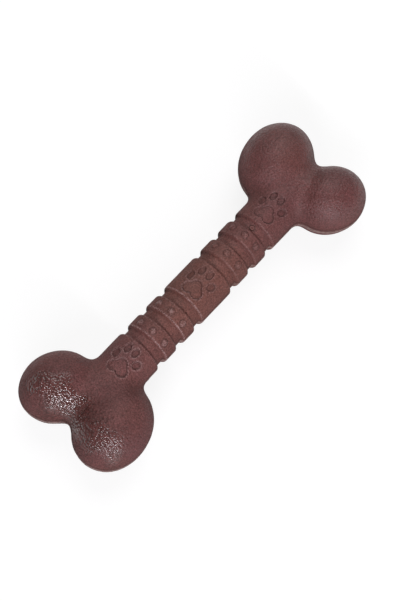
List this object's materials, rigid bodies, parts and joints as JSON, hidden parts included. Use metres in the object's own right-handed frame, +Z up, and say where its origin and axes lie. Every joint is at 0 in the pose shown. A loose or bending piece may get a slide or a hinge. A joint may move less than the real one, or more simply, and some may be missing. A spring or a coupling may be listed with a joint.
{
  "type": "dog toy",
  "caption": "Bone-shaped rubber chew toy with unequal rounded knobs, ribbed shaft, raised nubs, recessed paw prints and a plug squeaker inside.",
  "frame": {"origin": "centre of the footprint, on the plane of the rest flats under the lobes", "axes": "+X along the bone, +Z up through the paw prints, parting plane level"},
  "size_m": [0.19, 0.0646, 0.0331],
  "materials": {
    "moulded_rubber": "matte leathery grain",
    "squeaker_plastic": "satin",
    "reed_seat_plastic": "satin",
    "reed_film": "smooth film",
    "end_cap_plastic": "satin"
  },
  "bodies": {
    "root": {"upper_shell": "moulded_rubber", "lower_shell": "moulded_rubber", "squeaker_barrel": "squeaker_plastic", "squeaker_reed_seat": "reed_seat_plastic", "squeaker_reed": "reed_film", "squeaker_end_cap": "end_cap_plastic"}
  },
  "joints": []
}
